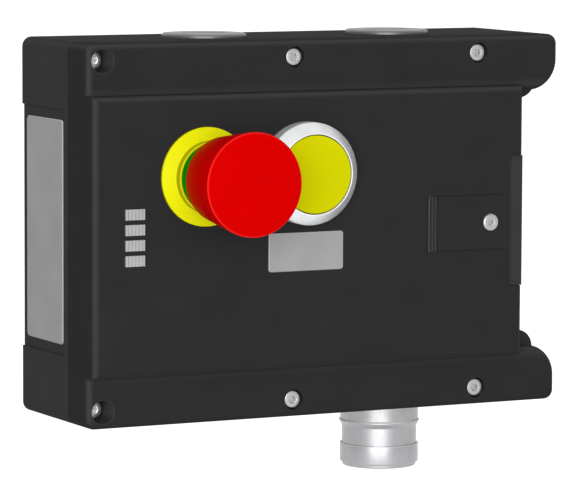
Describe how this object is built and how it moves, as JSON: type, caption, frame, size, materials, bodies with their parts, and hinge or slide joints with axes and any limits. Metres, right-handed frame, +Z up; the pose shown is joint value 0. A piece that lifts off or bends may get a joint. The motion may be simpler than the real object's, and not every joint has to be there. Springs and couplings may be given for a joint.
{
  "type": "guard locking module",
  "caption": "Wall-mounted door lock housing with a tongue slot, sprung lock bolt, emergency stop, lit pushbutton, status lamps, release flap and round connector.",
  "frame": {"origin": "centre of the rear mounting face, which is the middle of the four mounting holes", "axes": "+X right and +Z up as seen from the front, +Y out of the rear face into the wall; the front faces -Y"},
  "size_m": [0.1614, 0.0852, 0.1373],
  "materials": {
    "base_plastic": "moulded plastic, fine texture",
    "cover_plastic": "moulded plastic, fine texture",
    "inner_plastic": "moulded plastic",
    "seal_rubber": "soft seal",
    "steel": "zinc-plated steel",
    "brass": "turned brass",
    "nickel": "nickel-plated brass",
    "plug_metal": "plated metal",
    "plate_grey": "printed plate, bare",
    "clear_lamp": "clear light pipe",
    "estop_yellow": "gloss plastic",
    "estop_red": "gloss plastic",
    "ring_green": "gloss plastic",
    "bezel_silver": "satin chrome",
    "lens_yellow": "diffusing lens",
    "board_green": "circuit board",
    "terminal_grey": "moulded plastic",
    "copper": "enamelled copper winding",
    "gold": "plated contact pins"
  },
  "bodies": {
    "housing": {"rear_housing": "base_plastic", "front_cover": "cover_plastic", "cover_seal": "seal_rubber", "cover_screws": "steel", "cover_screw_inserts": "brass", "mounting_inserts": "brass", "nameplate": "plate_grey", "label_plate": "plate_grey", "light_pipe_1": "clear_lamp", "light_pipe_2": "clear_lamp", "light_pipe_3": "clear_lamp", "light_pipe_4": "clear_lamp", "indicator_board": "board_green", "indicator_board_screws": "steel", "plug_top_left": "plug_metal", "plug_top_right": "plug_metal", "plug_bottom_left": "plug_metal", "plug_seals": "seal_rubber", "estop_collar": "estop_yellow", "estop_body": "inner_plastic", "estop_nut": "inner_plastic", "estop_indicator_ring": "ring_green", "estop_panel_seal": "seal_rubber", "estop_contact_block": "inner_plastic", "button_bezel": "bezel_silver", "button_body": "inner_plastic", "button_nut": "inner_plastic", "button_panel_seal": "seal_rubber", "button_spring": "steel", "button_contact_block": "inner_plastic", "bolt_receptacle": "base_plastic", "receptacle_screws": "steel", "solenoid_frame": "steel", "solenoid_coil": "copper", "return_spring": "steel", "release_spindle_seal": "seal_rubber", "flap_hinge_pin": "steel", "read_head": "inner_plastic", "main_board": "board_green", "main_board_screws": "steel", "input_terminals": "terminal_grey", "output_terminals": "terminal_grey", "connector_body": "nickel", "connector_ring": "nickel", "connector_cuff": "nickel", "connector_insert": "inner_plastic", "connector_pins": "gold", "connector_locknut": "brass"},
    "estop_plunger": {"estop_plunger": "inner_plastic"},
    "estop_head": {"estop_head": "estop_red"},
    "button": {"button_lens": "lens_yellow", "button_plunger": "inner_plastic"},
    "lock": {"lock_bolt": "steel", "lock_slider": "steel", "solenoid_plunger": "steel"},
    "release": {"release_spindle": "brass", "release_crank": "steel"},
    "flap": {"release_flap": "cover_plastic", "flap_screw": "steel"}
  },
  "joints": [
    {"name": "estop_push", "type": "slide", "parent": "housing", "child": "estop_plunger", "axis": [0, 1, 0], "range_m": [0, 0.004]},
    {"name": "estop_twist", "type": "hinge", "parent": "estop_plunger", "child": "estop_head", "pos_m": [-0.0439, -0.065, 0.0174], "axis": [0, 1, 0], "range_deg": [0, 45], "stiffness_Nm_per_rad": 0.05},
    {"name": "button_press", "type": "slide", "parent": "housing", "child": "button", "axis": [0, 1, 0], "range_m": [0, 0.003], "stiffness_N_per_m": 600, "deforming": ["button_spring"]},
    {"name": "lock_slide", "type": "slide", "parent": "housing", "child": "lock", "axis": [0, 0, 1], "range_m": [0, 0.0075], "stiffness_N_per_m": 300, "deforming": ["return_spring"]},
    {"name": "release_turn", "type": "hinge", "parent": "housing", "child": "release", "pos_m": [0.0445, -0.045, 0], "axis": [0, -1, 0], "range_deg": [0, 90]},
    {"name": "flap_open", "type": "hinge", "parent": "housing", "child": "flap", "pos_m": [0.0334, -0.0512, 0], "axis": [0, 0, -1], "range_deg": [0, 100]}
  ],
  "couplings": [
    {"joint": "release_turn", "follows": "lock_slide", "rad_per_m": 209.4}
  ]
}
